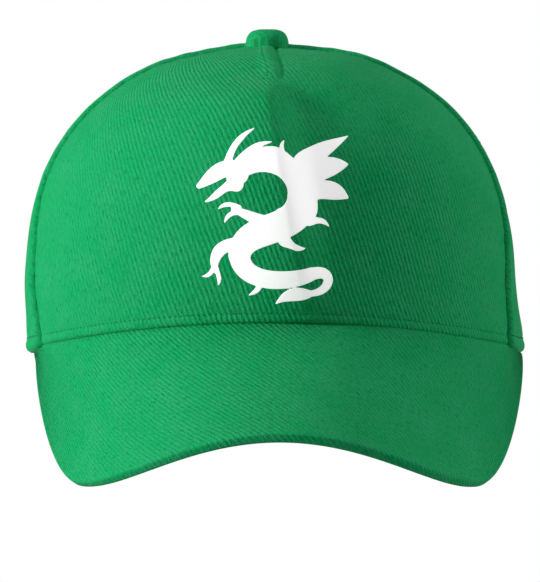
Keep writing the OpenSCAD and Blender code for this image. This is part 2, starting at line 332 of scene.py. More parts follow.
def shell(name, outer, inner, cloth, keep=None):
    """A closed shell between two grids of points. keep marks the grid's cells that are there."""
    rows, columns = outer.shape[:2]
    if keep is None:
        keep = np.ones((rows - 1, columns - 1), bool)
    number = np.arange(rows * columns).reshape(rows, columns)
    count = rows * columns
    faces = []
    for i, j in zip(*np.nonzero(keep)):
        a, b, c, d = number[i, j], number[i + 1, j], number[i + 1, j + 1], number[i, j + 1]
        faces.append((a, b, c, d))
        faces.append((d + count, c + count, b + count, a + count))
        for ni, nj, e, f in ((i, j - 1, a, b), (i + 1, j, b, c), (i, j + 1, c, d), (i - 1, j, d, a)):
            if not (0 <= ni < rows - 1 and 0 <= nj < columns - 1 and keep[ni, nj]):
                faces.append((f, e, e + count, f + count))
    points = np.concatenate([outer.reshape(-1, 3), inner.reshape(-1, 3)])
    flat = np.concatenate([cloth.reshape(-1, 2)] * 2)
    return drop_loose(link_mesh(name, points, faces, flat))


def drop_loose(obj):
    """Removes the points that no face uses."""
    bm = bmesh.new()
    bm.from_mesh(obj.data)
    bmesh.ops.delete(bm, geom=[v for v in bm.verts if not v.link_faces], context="VERTS")
    bmesh.ops.recalc_face_normals(bm, faces=bm.faces)
    bm.to_mesh(obj.data)
    bm.free()
    return obj


def spread(count, crowd=0.5):
    """count + 1 steps from 0 to 1, closer together at both ends."""
    k = np.linspace(0.0, 1.0, count + 1)
    return (1.0 - crowd) * k + crowd * (0.5 - 0.5 * np.cos(math.pi * k))


def arc(points, axis, start=0):
    """Length along a grid of points, counted from row or column start."""
    steps = norm(np.diff(points, axis=axis))
    zero = np.zeros_like(np.take(points[..., 0], [0], axis=axis))
    total = np.concatenate([zero, np.cumsum(steps, axis=axis)], axis=axis)
    return total - np.take(total, [start], axis=axis)


def quarter_round(d, depth, width):
    """How far an edge has turned in at distance d from it."""
    k = 1.0 - np.clip(d / width, 0.0, 1.0)
    return depth * (1.0 - np.sqrt(1.0 - k * k))


def bump(d, centre, width):
    return np.exp(-((d - centre) / width) ** 2)


def mm_per_degree(t, v):
    return norm(crown(t + 0.5, v) - crown(t - 0.5, v))


def rim_height(t, v):
    return crown(t, v)[..., 2] - rim_z(t)


def line_length(ends_t, ends_v):
    """Length along the crown between two ends, given as pairs of angles and of heights v."""
    k = np.linspace(0.0, 1.0, 25).reshape(-1, *([1] * np.ndim(ends_v[1])))
    return norm(np.diff(crown(mix(*ends_t, k), mix(*ends_v, k)), axis=0)).sum(0)


def swept(low_t, high_t, v):
    """Length round the crown from one angle to another at v, as flat cloth would measure it."""
    return line_length((low_t, high_t), (v, v)) * np.sign(high_t - low_t)


def climbed(t, v):
    """Length up the crown from the rim to v at angle t."""
    return line_length((t, t), (0.0, v))


def cloth_place(t, v, middle):
    """Where a point of the crown lies on its flat piece of cloth, in mm."""
    return np.stack([swept(middle, t, v), climbed(t, v)], -1)


# ---- what the sewing does to the cloth's surface ----

RIM_STITCH = 3.5
RIM_END = 78.0
DART_AT = 1.2
DART_FROM = 0.735
ARCH_STITCHES = (2.0, 8.0)


def rim_relief(t, v):
    """The turned-in rim: a full edge, dented where it is stitched, and thicker at the visor's ends."""
    d = rim_height(t, v)
    at_end = smooth(np.abs(t), 60.0, 80.0) * (1.0 - smooth(np.abs(t), RIM_END, 95.0))
    edge = mix(0.3, 0.9, at_end) * bump(d, 1.7, 1.7)
    roll = mix(0.25, 0.8, at_end) * bump(d, 5.0, 6.0)
    return edge + roll - 0.22 * bump(d, RIM_STITCH, 0.7) - quarter_round(d, 0.9, 1.2)


def varied(length, slow):
    """An uneven strength between 0.2 and 1 along a seam."""
    return 0.6 + 0.4 * np.sin(length / slow)


def pucker(length, d, reach, amount, pitch):
    """Small gathers along a seam, fading over reach."""
    wave = np.sin(2 * math.pi * length / pitch + 1.9 * np.sin(length / 11.0)) * varied(length, 17.0)
    return amount * wave * np.exp(-np.maximum(d, 0.0) / reach) * smooth(d, 0.4, 2.5)


def uneven(along):
    """How far the seam's line wanders from side to side as the cloth gathers on its stitches."""
    return 0.3 * np.sin(along / 1.1 + 2.0 * np.sin(along / 5.1)) * varied(along, 13.0)


def front_relief(t, v):
    along = climbed(t, v)
    beside = (front_seam(v) - np.abs(t)) * mm_per_degree(t, v) + uneven(along)
    across = swept(0.0, t, v) - DART_AT
    dart = smooth(v, DART_FROM, DART_FROM + 0.06)
    return (rim_relief(t, v) - quarter_round(beside, 2.1, 2.5) - 0.25 * bump(beside, 6.0, 4.0)
            + pucker(along, beside, 6.0, 0.14, 9.5)
            + dart * (0.8 * bump(across, -2.4, 2.6) - 0.75 * bump(across, 0.9, 0.8)))


def side_relief(t, v):
    scale = mm_per_degree(t, v)
    along = climbed(t, v)
    to_front, to_back = (t - front_seam(v)) * scale + uneven(along), (back_seam(v) - t) * scale
    return (rim_relief(t, v) + 1.2 * bump(to_front, 2.6, 3.2) - quarter_round(to_front, 2.1, 1.7)
            - quarter_round(to_back, 0.9, 1.8) + pucker(along, to_front, 7.0, 0.12, 11.5)
            + pucker(along, to_back, 5.0, 0.12, 8.0))


def back_relief(t, v, from_edge):
    scale = mm_per_degree(t, v)
    to_side, to_middle = (t - back_seam(v)) * scale, (180.0 - t) * scale
    along = climbed(t, v)
    edge = (0.35 * bump(from_edge, 1.2, 1.3) - 0.2 * bump(from_edge, ARCH_STITCHES[0], 0.6)
            - 0.2 * bump(from_edge, ARCH_STITCHES[1], 0.7) - quarter_round(from_edge, 0.8, 1.1))
    at_top = smooth(v, 0.3, 0.45)
    return (edge + (0.4 * bump(to_side, 3.0, 3.0) - quarter_round(to_side, 1.1, 1.8))
            - at_top * quarter_round(to_middle, 0.9, 1.8) + pucker(along, to_side, 5.0, 0.12, 8.0)
            + at_top * pucker(along, to_middle, 5.0, 0.12, 8.5))


# ---- panels ----

def cross(a, b):
    return np.meshgrid(a, b, indexing="ij")


def grid(steps_a, steps_b):
    return cross(spread(steps_a), spread(steps_b, 0.25))


SIDES = ((1, "right"), (-1, "left"))
RIM_DROP = 2.0
SEAM_GAP = 0.03


def panel(name, t, v, relief, middle, keep=None):
    """A cloth panel from its grid of angles and heights, with the sewing's relief on its outer face.

    At the visor's ends the rim hangs RIM_DROP lower.
    """
    outer = crown_at(t, v, relief)
    inner = crown_at(t, v, -CLOTH + 0.5 * np.minimum(relief, 0.0))
    for layer in (outer, inner):
        layer[..., 2] -= RIM_DROP * bump(np.abs(t), RIM_END, 9.0) * np.exp(-(rim_height(t, v) / 3.0) ** 2)
    return shell(name, outer, inner, cloth_place(t, v, middle), keep)


def eyelet_gap(t, v, eyelet_t):
    """The grid's cells that stay round the hole of an eyelet."""
    centre = crown(eyelet_t, level(eyelet_t, EYELET_LEVEL))
    points = crown(t, v)
    middles = (points[1:, 1:] + points[:-1, :-1]) / 2
    return norm(middles - centre) > EYELET_RADIUS + 0.7


def make_front_panel():
    a, b = grid(230, 150)
    v = b * TOP_V
    t = (2 * a - 1) * (front_seam(v) - SEAM_GAP)
    return panel("front_panel_cloth", t, v, front_relief(t, v), 0.0)


def make_side_panel(side, word):
    a, b = grid(80, 130)
    v = b * TOP_V
    t = mix(front_seam(v) + SEAM_GAP, back_seam(v) - SEAM_GAP, a)
    keep = eyelet_gap(t, v, SIDE_EYELET)
    middle = side * (FRONT_SEAM + BACK_SEAM) / 2
    return panel(f"side_panel_cloth_{word}", side * t, v, side_relief(t, v), middle, keep)


def back_edge(a):
    """Angle and v along the back panel's lower edge: the rim, then the arch of the opening."""
    foot = 180.0 - OPENING_ANGLE
    turn = 0.35
    k = np.radians(90.0 * np.maximum(a - turn, 0.0) / (1.0 - turn))
    arch_t = 180.0 - OPENING_ANGLE * np.cos(k)
    arch_z = OPENING_HEIGHT * np.sin(k)
    on_rim = a < turn
    t = np.where(on_rim, mix(BACK_SEAM, foot, a / turn), arch_t)
    return t, np.where(on_rim, 0.0, level(arch_t, arch_z))


def make_back_panel(side, word):
    a, b = cross(np.linspace(0, 1, 111), spread(120, 0.25))
    edge_t, edge_v = back_edge(a)
    t = mix(edge_t, mix(back_seam(TOP_V), 180.0, a), b) + SEAM_GAP * (1 - 2 * a)
    v = mix(edge_v, TOP_V, b)
    relief = back_relief(t, v, arc(crown(t, v), 1))
    keep = eyelet_gap(t, v, BACK_EYELET)
    return panel(f"back_panel_cloth_{word}", side * t, v, relief, side * (BACK_SEAM + 180) / 2, keep)


def make_backing():
    """The stiff cloth behind the front panel, a little short of its seams and top."""
    a, b = grid(90, 60)
    v = mix(0.02, 0.88, b)
    t = (2 * a - 1) * (front_seam(v) - 7)
    outer, inner = crown_at(t, v, BACKING_OUT), crown_at(t, v, BACKING_OUT - BACKING)
    return shell("front_backing_buckram", outer, inner, cloth_place(t, v, 0.0))


def turn_for(width, t, v):
    """The angle that takes up a width on the crown, a little less close to its top."""
    return np.degrees(width / np.maximum(norm(crown(t, v)[..., :2]), 8.0))


def make_tape(name, seam, low, high, width):
    """A tape along a seam; seam(v) gives its angle."""
    a, b = cross(np.linspace(-1, 1, 25), np.linspace(0, 1, 121))
    v = mix(low, high, b)
    centre = seam(v)
    t = centre + a * np.minimum(turn_for(width / 2, centre, v), 22.0)
    ribs = 0.12 * np.cos(a * 9 * math.pi) + 0.05 * np.sin(climbed(t, v) * 1.9)
    outer = crown_at(t, v, TAPE_OUT)
    inner = crown_at(t, v, TAPE_OUT - TAPE_THICKNESS + ribs)
    cloth = np.stack([a * width / 2, climbed(centre, v)], -1)
    return shell(name, outer, inner, cloth)


def make_sweatband():
    """The band inside the rim, rounded out between its edges and stitched along its lower one."""
    end = 180 - OPENING_ANGLE - 3
    a, b = cross(np.linspace(-1, 1, 361), np.linspace(0, 1, 33))
    t = a * end
    z = mix(1.0, BAND_HEIGHT, b)
    v = level(t, rim_z(t) + z)
    ease_in = 0.22 * np.sin(t * 0.9 + 2 * np.sin(t / 17.0)) * (1 - b) ** 2
    puff = 0.5 * np.sin(math.pi * b) ** 0.5
    outer = crown_at(t, v, BAND_OUT)
    inner = crown_at(t, v, BAND_OUT - BAND_THICKNESS - puff + ease_in + 0.8 * bump(z, 3.0, 0.9))
    return shell("sweatband_cloth", outer, inner, cloth_place(t, v, 0.0))


# ---- visor ----

def bezier(curve, k):
    k = k[..., None]
    a, b, c, d = np.array(curve, float)
    return (1 - k) ** 3 * a + 3 * (1 - k) ** 2 * k * b + 3 * (1 - k) * k * k * c + k ** 3 * d


def visor_root(s):
    return crown(s * VISOR_HALF_ANGLE, 0.0) - [0.0, 0.0, VISOR_DROP]


def visor_edge(s):
    """The visor's free edge: a front curve to the low corner and a side curve back to the rim.

    It is moved by VISOR_SWAY to +X, which fades out at its two ends, more slowly at the -X one.
    """
    corner_at = 0.52
    front = -VISOR_REACH
    corner = np.array([67.0, front + 42, -32.0])
    turn = np.array([13.2, 26.2, -2.2])
    front_curve = [[0, front, -11.5], [31, front, -11.5], corner - 1.1 * turn, corner]
    end = visor_root(np.array(1.0)) + [-0.5, -3.0, -0.5]
    side_curve = [corner, corner + 0.92 * turn, [HALF_WIDTH - 2.2, front + 103, 2.8], end]
    k = np.abs(s)
    p = np.where((k < corner_at)[..., None],
                 bezier(front_curve, np.minimum(k / corner_at, 1)),
                 bezier(side_curve, np.maximum((k - corner_at) / (1 - corner_at), 0)))
    p = p * np.stack([np.sign(s), np.ones_like(s), np.ones_like(s)], -1)
    p[..., 0] += VISOR_SWAY * np.minimum(1.0, np.where(s > 0, 60.0, 12.0) * (1.0 - k))
    return p


def visor_up(s):
    k = np.clip(s, -0.85, 0.85)
    outward = visor_edge(k) - visor_root(k)
    along = (visor_edge(k + 0.02) - visor_edge(k - 0.02)
             + visor_root(k + 0.02) - visor_root(k - 0.02))
    return unit(np.cross(outward, along))


def squared(value):
    """Makes a circle's sine or cosine follow a squarer outline with rounded corners."""
    return math.copysign(abs(value) ** 0.55, value)


VISOR_END = 0.986
VISOR_EDGE_RADIUS = VISOR_THICKNESS / 2
VISOR_SAG = 0.4
VISOR_CLOTH = 0.75


def visor_section(s, wall, top, meet):
    """Rows of points from under the crown, along one face of the visor and round its edge.

    wall moves the rows into the cloth. The two covers meet at the angle meet round the edge.
    """
    root, edge, up = visor_root(s), visor_edge(s), visor_up(s)
    way = unit(edge - root)
    t = np.radians(s * VISOR_HALF_ANGLE)
    inward = -unit(np.stack([np.sin(t) / HALF_WIDTH, -np.cos(t) / HALF_LENGTH, np.zeros_like(t)], -1))
    side = 1.0 if top else -1.0
    mid = -up * VISOR_EDGE_RADIUS
    closing = smooth(np.abs(s), 0.968, VISOR_END)[:, None]
    radius = (VISOR_EDGE_RADIUS - wall) * (1.0 - 0.85 * closing)
    face = mid + side * up * radius
    raised = np.array([0.0, 0.0, 1.0])
    rows = [root + face + inward * VISOR_TUCK * k + raised * (0.9 + 1.1 * k) for k in (1.0, 0.7, 0.4)]
    turn_at = edge - way * VISOR_EDGE_RADIUS
    for r in np.linspace(0.0, 1.0, 64):
        sag = -VISOR_SAG * math.sin(math.pi * r)
        lift = VISOR_DROP * math.exp(-(r / 0.05) ** 2)
        rows.append(mix(root, turn_at, r) + face + up * sag + raised * lift)
    for phi in np.radians(np.linspace(0.0, meet, 17)[1:]):
        down, out = squared(math.cos(phi)), squared(math.sin(phi))
        rows.append(turn_at + mid + side * up * radius * down + way * radius * out)
    return np.stack(rows, 1)


def make_visor_cover(name, top, meet):
    s = np.linspace(-VISOR_END, VISOR_END, 261)
    outer = visor_section(s, 0.0, top, meet)
    inner = visor_section(s, VISOR_CLOTH, top, meet)
    cloth = np.stack([arc(outer, 0, len(s) // 2), -arc(outer, 1)], -1)
    return shell(name, outer, inner, cloth)


# ---- button and eyelets ----

BUTTON_MOVE = np.array([-3.0, 0.0, -0.4])
BUTTON_SINK = 0.7


def make_button():
    """Cloth drawn over a low round shell, with the small folds left by gathering it underneath."""
    turn, climb = cross(np.linspace(0, 2 * math.pi, 145), np.linspace(0, 1, 41))
    lift = climb * math.pi / 2
    reach = np.cos(lift) ** 0.55
    rise = np.sin(lift) ** 0.75
    gather = 0.07 * np.sin(13 * turn + 2 * np.sin(3 * turn)) * (1 - climb) ** 3
    fold = -0.3 * bump(reach * np.cos(turn - 2.7), 0.5, 0.07) * smooth(reach, 0.2, 0.5)
    radius = BUTTON_DIAMETER / 2 + gather
    points = np.stack([radius * reach * np.cos(turn), radius * reach * np.sin(turn),
                       (BUTTON_HEIGHT + 1.2) * rise + fold + CROWN_HEIGHT - BUTTON_SINK], -1)
    under = points * [0.86, 0.86, 1.0] - [0.0, 0.0, CLOTH]
    under[:, 0, 2] = CROWN_HEIGHT - BUTTON_SINK - 0.4
    cloth = points[..., :2] + [0, 40]
    return shell("button_cloth", points + BUTTON_MOVE, under + BUTTON_MOVE, cloth)


def full_turn(steps):
    return np.linspace(0, 2 * math.pi, steps + 1)[:-1]


def turned(name, profile):
    """A round piece turned from a closed outline of [radius, height above the crown's top]."""
    turn = full_turn(72)
    radius, height = np.array(profile, float).T
    points = np.stack([np.outer(np.cos(turn), radius), np.outer(np.sin(turn), radius),
                       np.tile(CROWN_HEIGHT + height, (len(turn), 1))], -1) + BUTTON_MOVE
    return drop_loose(link_mesh(name, points.reshape(-1, 3), ring_faces(*points.shape[:2])))


def ring_faces(rows, columns):
    """Faces of a grid that closes on itself both ways."""
    return [(i * columns + j, (i + 1) % rows * columns + j,
             (i + 1) % rows * columns + (j + 1) % columns, i * columns + (j + 1) % columns)
            for i in range(rows) for j in range(columns)]


def rounded(corners, radius):
    """An outline with each of its corners rounded off."""
    corners = [np.array(c, float) for c in corners]
    outline = []
    for before, at, after in zip(corners[-1:] + corners[:-1], corners, corners[1:] + corners[:1]):
        start, end = at + unit(before - at) * radius, at + unit(after - at) * radius
        for k in np.linspace(0.0, 1.0, 4):
            outline.append((1 - k) ** 2 * start + 2 * k * (1 - k) * at + k * k * end)
    return outline


def make_button_shell():
    """A stamped dome with an open foot, under the button's cloth."""
    climb = np.radians(np.linspace(0.0, 89.0, 18))
    outer = [(6.5 * math.cos(a), 0.1 + 4.3 * math.sin(a)) for a in climb]
    inner = [(5.9 * math.cos(a), 0.1 + 3.7 * math.sin(a)) for a in climb]
    return turned("button_shell_steel", outer + inner[::-1])


def make_button_stud():
    """The shell's shank, which goes down through the top of the crown to a flat head."""
    return turned("button_stud_steel", rounded([(0.05, 3.6), (1.1, 3.6), (1.1, -2.4), (2.2, -2.4),
                                                (2.2, -3.2), (0.05, -3.2)], 0.2))


def make_button_washer():
    return turned("button_washer_steel", rounded([(1.2, -1.3), (6.5, -1.3), (6.5, -2.3), (1.2, -2.3)], 0.3))


def local_frame(t, z):
    """A settled point of the crown and its right, up and outward directions."""
    v = level(t, z)
    at = crown_at(t, v, 0.0)
    right = unit(crown_at(t + 1.0, v, 0.0) - at)
    up = unit(crown_at(t, v + 0.01, 0.0) - at)
    return at, np.stack([right, up, unit(np.cross(right, up))])


def make_eyelet(name, side, t):
    """A hole worked round with thread, as a ring of close radial stitches."""
    at, axes = local_frame(side * t, EYELET_LEVEL)
    turn, lap = cross(full_turn(360), full_turn(24))
    thread = 0.13 * np.abs(np.sin(turn * 22 + 0.3 * np.sin(5 * turn))) + 0.05 * np.sin(7 * turn)
    radius = 3.0 + (1.0 + thread) * np.cos(lap)
    height = -0.45 + (1.25 + thread) * np.sin(lap)
    points = at + np.stack([radius * np.cos(turn), radius * np.sin(turn), height], -1) @ axes
    cloth = np.stack([turn * 3.0, lap], -1).reshape(-1, 2)
    return drop_loose(link_mesh(name, points.reshape(-1, 3), ring_faces(*turn.shape), cloth))


# ---- stitches ----

STITCH_LENGTH = 1.6
STITCH_PITCH = 2.05
STITCH_RADIUS = 0.22


def stitches(name, t, v, relief):
    """A row of stitches along angles t and heights v: short rounded threads that dip in at both ends."""
    path, normals = crown_at(t, v, relief), crown_normal(t, v)
    run = arc(path, 0)
    count = int(run[-1] // STITCH_PITCH)
    rings, sides = 7, 6
    k = np.linspace(0, 1, rings)
    where = (np.arange(count) * STITCH_PITCH)[:, None] + k * STITCH_LENGTH
    centre, outward = (np.stack([np.interp(where, run, column) for column in row.T], -1)
                       for row in (path, normals))
    outward = unit(outward)
    ahead = unit(np.gradient(centre, axis=1))
    beside = np.cross(ahead, outward)
    arch = (np.sin(math.pi * k) ** 0.5 * 0.3 - 0.25)[:, None]
    fat = STITCH_RADIUS * (0.45 + 0.55 * np.sin(math.pi * k) ** 0.6)[:, None, None]
    turn = full_turn(sides)
    ring = (np.cos(turn)[:, None] * beside[:, :, None, :] + np.sin(turn)[:, None] * outward[:, :, None, :])
    points = (centre + arch * outward)[:, :, None, :] + fat * ring
    one = [(i * sides + j, i * sides + (j + 1) % sides,
            (i + 1) * sides + (j + 1) % sides, (i + 1) * sides + j)
           for i in range(rings - 1) for j in range(sides)]
    one.append(tuple(range(sides))[::-1])
    one.append(tuple((rings - 1) * sides + j for j in range(sides)))
    faces = [tuple(f + n * rings * sides for f in face) for n in range(count) for face in one]
    flat = np.stack(np.broadcast_arrays(where[:, :, None], turn), -1)
    return link_mesh(name, points.reshape(-1, 3), faces, flat.reshape(-1, 2))


def make_rim_stitches():
    t = np.linspace(-150.0, 150.0, 1400)
    v = level(t, rim_z(t) + RIM_STITCH)
    relief = np.where(np.abs(t) < FRONT_SEAM, front_relief(t, v), side_relief(np.abs(t), v))
    relief = np.where(np.abs(np.abs(t) - FRONT_SEAM) < 1.2, -0.3, relief)
    relief = np.where(np.abs(t) > BACK_SEAM - 1.0, 0.1, relief)
    return stitches("rim_stitches", t, v, relief)


def make_dart_stitches():
    """The short row of stitches that shows where the dart's seam lies flat to one side."""
    v = np.linspace(DART_FROM + 0.03, 0.955, 200)
    t = turn_for(DART_AT - 4.6, 0.0, v)
    return stitches("dart_stitches", t, v, front_relief(t, v))


BACK_SCALE = 1.6


def make_arch_stitches(name, inset):
    """A row beside the arch of the back opening, where a degree takes about BACK_SCALE mm."""
    k = np.radians(np.linspace(3.0, 177.0, 700))
    t = 180.0 - (OPENING_ANGLE + inset / BACK_SCALE) * np.cos(k)
    v = level(t, (OPENING_HEIGHT + inset) * np.sin(k))
    return stitches(name, t, v, -0.05)


# ---- back opening and strap ----

def make_binding():
    """The folded tape inside the arch of the back opening."""
    width = 9.0
    a, b = cross(np.linspace(3, 177, 181), np.linspace(0, 1, 9))
    t = 180 - (OPENING_ANGLE + 5.5 * b) * np.cos(np.radians(a))
    v = level(t, (OPENING_HEIGHT + width * b) * np.sin(np.radians(a)) + 0.4)
    fold = 0.6 + 0.35 * np.sin(math.pi * b) - 0.05 * np.sin(a * 0.9) * b
    outer, inner = crown_at(t, v, BACKING_OUT), crown_at(t, v, BACKING_OUT - fold)
    return shell("opening_binding", outer, inner, np.stack([a * 1.2, b * width], -1))


HINGE_ANGLE = 180 + OPENING_ANGLE * math.cos(math.asin(STRAP_HIGH / OPENING_HEIGHT)) - 1.8
STRAP_END = 160.0
BACK_RADIUS = 95.0


def band(name, t_a, t_b, inset, thickness, lift, steps, round_end=False, edge_roll=0.35):
    """A level band on the crown between two angles, as high as the strap less inset on each side.

    lift(t) is the offset of its outer face. Its flat cloth is as long as an arc of BACK_RADIUS.
    """
    a, b = cross(np.linspace(0, 1, steps + 1), spread(22))
    t = mix(t_a, t_b, a)
    middle, half = (STRAP_LOW + STRAP_HIGH) / 2, (STRAP_HIGH - STRAP_LOW) / 2 - inset
    if round_end:
        reach = np.clip((t - t_a) * BACK_SCALE / half, 0.0, 1.0)
        half = half * np.sqrt(1.0 - (1.0 - reach) ** 3 * 0.98)
    z = middle + (2 * b - 1) * half
    v = level(t, z)
    to_edge = (1.0 - np.abs(2 * b - 1)) * half
    roll = quarter_round(to_edge, edge_roll, 0.9) + 0.12 * bump(to_edge, 2.2, 0.5)
    wave = 0.12 * np.sin(t * 1.7 + z * 0.2)
    outer = crown_at(t, v, lift(t) - roll + wave)
    inner = crown_at(t, v, lift(t) - thickness + 0.5 * roll + wave)
    cloth = np.stack([np.radians(t) * BACK_RADIUS, z], -1)
    return shell(name, outer, inner, cloth)


def flap_lift(t):
    """The strap leaves its root under the panel and steps out over the loop strap."""
    step = 0.14 * (HINGE_ANGLE - STRAP_END)
    return mix(FLAP_OUT, STRAP_OUT, smooth(t, HINGE_ANGLE - step, HINGE_ANGLE))


def make_strap():
    return band("closing_strap", STRAP_END, 222.0, 0.0, STRAP_THICKNESS, flap_lift, 190, True)


def make_strap_stitches():
    """A row of stitches round the free end of the closing strap."""
    inset = 2.2
    corner = 5.0
    low, high, end = STRAP_LOW + inset, STRAP_HIGH - inset, STRAP_END + 1.6
    side_t = np.linspace(HINGE_ANGLE - 7, end + corner, 200)
    turn = np.radians(np.linspace(-90, 90, 60))
    t = np.concatenate([side_t, end + corner * (1 - np.cos(turn)), side_t[::-1]])
    z = np.concatenate([np.full(200, low), mix(low, high, 0.5 + 0.5 * np.sin(turn)), np.full(200, high)])
    v = level(t, z)
    return stitches("strap_stitches", t, v, flap_lift(t) + 0.02)


def make_loop_strap():
    return band("loop_side_strap", 138.0, 197.0, 0.0, STRAP_THICKNESS, lambda t: STRAP_OUT, 150)


def make_loop_patch():
    def pile(t):
        return STRAP_OUT + 0.6 + 0.03 * np.sin(t * 9.0 + 2 * np.sin(t * 3.1))
    return band("loop_fleece", 158.0, 196.0, 1.0, 0.5, pile, 260, edge_roll=0.2)


def make_hook_patch():
    return band("hook_tape", 164.2, 193.0, 1.5, 0.6, lambda t: FLAP_OUT - STRAP_THICKNESS - 0.05, 260,
                edge_roll=0.1)


# ---- print on the front panel ----

# Each stroke of the dragon is a cubic Bezier curve of four [x, z] points in mm, then its half width
# at the start, the middle and the end.
DRAGON = [
    # body and tail
    ([(-14, 66), (-4, 78), (11, 70), (9, 57)], (2.2, 4.4, 5)),
    ([(9, 60), (8, 47), (-11, 52), (-12, 41)], (5, 4.8, 3.6)),
    ([(-12, 43), (-13, 31), (5, 32), (12, 35)], (3.6, 3, 2.2)),
    ([(11, 34.6), (20, 38), (20, 28.5), (11, 28.5)], (2.2, 1.6, 0.9)),
    ([(13, 28.8), (9, 27.5), (5, 30), (0, 25)], (0.4, 2.2, 0.1)),
    # head, jaw and horns
    ([(-12, 67), (-16, 72), (-20, 67), (-25, 63.5)], (3, 2.6, 0.8)),
    ([(-13, 64), (-17, 64), (-19, 60), (-23, 58.5)], (2.4, 1.2, 0.2)),
    ([(-13, 70), (-10, 75), (-6, 77), (-1, 77.5)], (1.6, 1, 0.1)),
    ([(-16, 70), (-15, 76), (-12, 79.5), (-7, 82)], (1.4, 1, 0.1)),
    # wing
    ([(6, 62), (7, 76), (15, 79), (25, 84)], (2, 3.4, 0.1)),
    ([(8, 62), (12, 74), (19, 73), (25, 73.5)], (2, 4, 0.1)),
    ([(9, 60), (15, 67), (20, 64), (25, 61)], (2, 3.4, 0.1)),
    # legs and claws
    ([(2, 54), (-3, 50), (-8, 54), (-14, 56)], (2.4, 1.8, 0.8)),
    ([(-12, 56.5), (-15, 58), (-17, 58), (-19, 56)], (0.8, 0.7, 0.1)),
    ([(-12, 55), (-15, 55), (-16, 54), (-17, 51.5)], (0.8, 0.7, 0.1)),
    ([(-10, 44), (-16, 46), (-21, 43), (-20, 36)], (2.6, 2, 0.8)),
    ([(-20, 38), (-21, 35), (-22, 34), (-24, 34)], (0.8, 0.7, 0.1)),
    ([(-20, 38), (-19, 35), (-18, 33), (-19, 31)], (0.8, 0.7, 0.1)),
    # spines
    ([(3, 71), (3, 74), (1, 76), (3, 79)], (1.8, 0.8, 0.1)),
    ([(11, 53), (14, 53), (16, 54), (18, 51)], (2, 1, 0.1)),
    ([(3, 46), (6, 44), (7, 43), (10, 43.5)], (2, 1, 0.1)),
    ([(-4, 34), (-5, 31), (-6, 29), (-9, 28)], (1.6, 0.9, 0.1)),
]


def inside_dragon(x, z):
    """How far each point is inside the dragon's strokes, in mm; negative is outside."""
    depth = np.full(x.shape, -99.0)
    k = np.linspace(0, 1, 41)
    for curve, (start, middle, end) in DRAGON:
        line = bezier(curve, k)
        half = mix(np.where(k < 0.5, start, end), middle, np.sin(math.pi * k))
        for p, q, h0, h1 in zip(line[:-1], line[1:], half[:-1], half[1:]):
            way = q - p
            along = np.clip(((x - p[0]) * way[0] + (z - p[1]) * way[1]) / (way @ way), 0, 1)
            gone = np.hypot(x - p[0] - along * way[0], z - p[1] - along * way[1])
            depth = np.maximum(depth, mix(h0, h1, along) - gone)
    return depth


def outline_mesh(depth, x, z):
    """Cuts a grid at depth 0. Gives the kept points, the faces and the open edges."""
    rows, columns = depth.shape
    points, faces, number = [], [], {}

    def corner(i, j):
        return number.setdefault(("c", i, j), len(number)), (x[i, j], z[i, j])

    def crossing(i, j, m, n):
        k = depth[i, j] / (depth[i, j] - depth[m, n])
        key = ("e", *sorted([(i, j), (m, n)]))
        return number.setdefault(key, len(number)), (mix(x[i, j], x[m, n], k), mix(z[i, j], z[m, n], k))

    for i in range(rows - 1):
        for j in range(columns - 1):
            loop = [(i, j), (i + 1, j), (i + 1, j + 1), (i, j + 1)]
            inside = [depth[c] > 0 for c in loop]
            if not any(inside):
                continue
            face = []
            for c, d, here, there in zip(loop, loop[1:] + loop[:1], inside, inside[1:] + inside[:1]):
                if here:
                    face.append(corner(*c))
                if here != there:
                    face.append(crossing(*c, *d))
            faces.append([n for n, _ in face])
            points += face
    place = dict(points)
    flat = np.array([place[n] for n in range(len(number))])
    return flat, faces


def on_front(x, z):
    """Angle and v of the front's point at x and z, before it settles."""
    t = np.degrees(np.arcsin(x / HALF_WIDTH))
    for _ in range(8):
        v = level(t, z)
        reach = np.cos(np.radians(90 * v ** 1.6)) ** (2.0 / powers(t)[0])
        t = np.degrees(np.arcsin(np.clip(x / (HALF_WIDTH * reach), -1, 1)))
    return t, level(t, z)


FILM = 0.12
FILM_STEP = 0.4


def make_print():
    """The dragon as a thin film that follows the cloth under it."""
    x, z = cross(np.arange(-28, 28, FILM_STEP), np.arange(22, 87, FILM_STEP))
    flat, faces = outline_mesh(inside_dragon(x, z), x, z)
    t, v = on_front(flat[:, 0], flat[:, 1])
    relief = front_relief(t, v)
    top, bottom = crown_at(t, v, relief + FILM), crown_at(t, v, relief - 0.02)
    edges = dict.fromkeys(edge for face in faces for edge in zip(face, face[1:] + face[:1]))
    count = len(flat)
    walls = [(b, a, a + count, b + count) for a, b in edges if (b, a) not in edges]
    under = [[n + count for n in face[::-1]] for face in faces]
    cloth = np.concatenate([cloth_place(t, v, 0.0)] * 2)
    return drop_loose(link_mesh("dragon_film", np.concatenate([top, bottom]), faces + under + walls, cloth))


# ---- materials ----

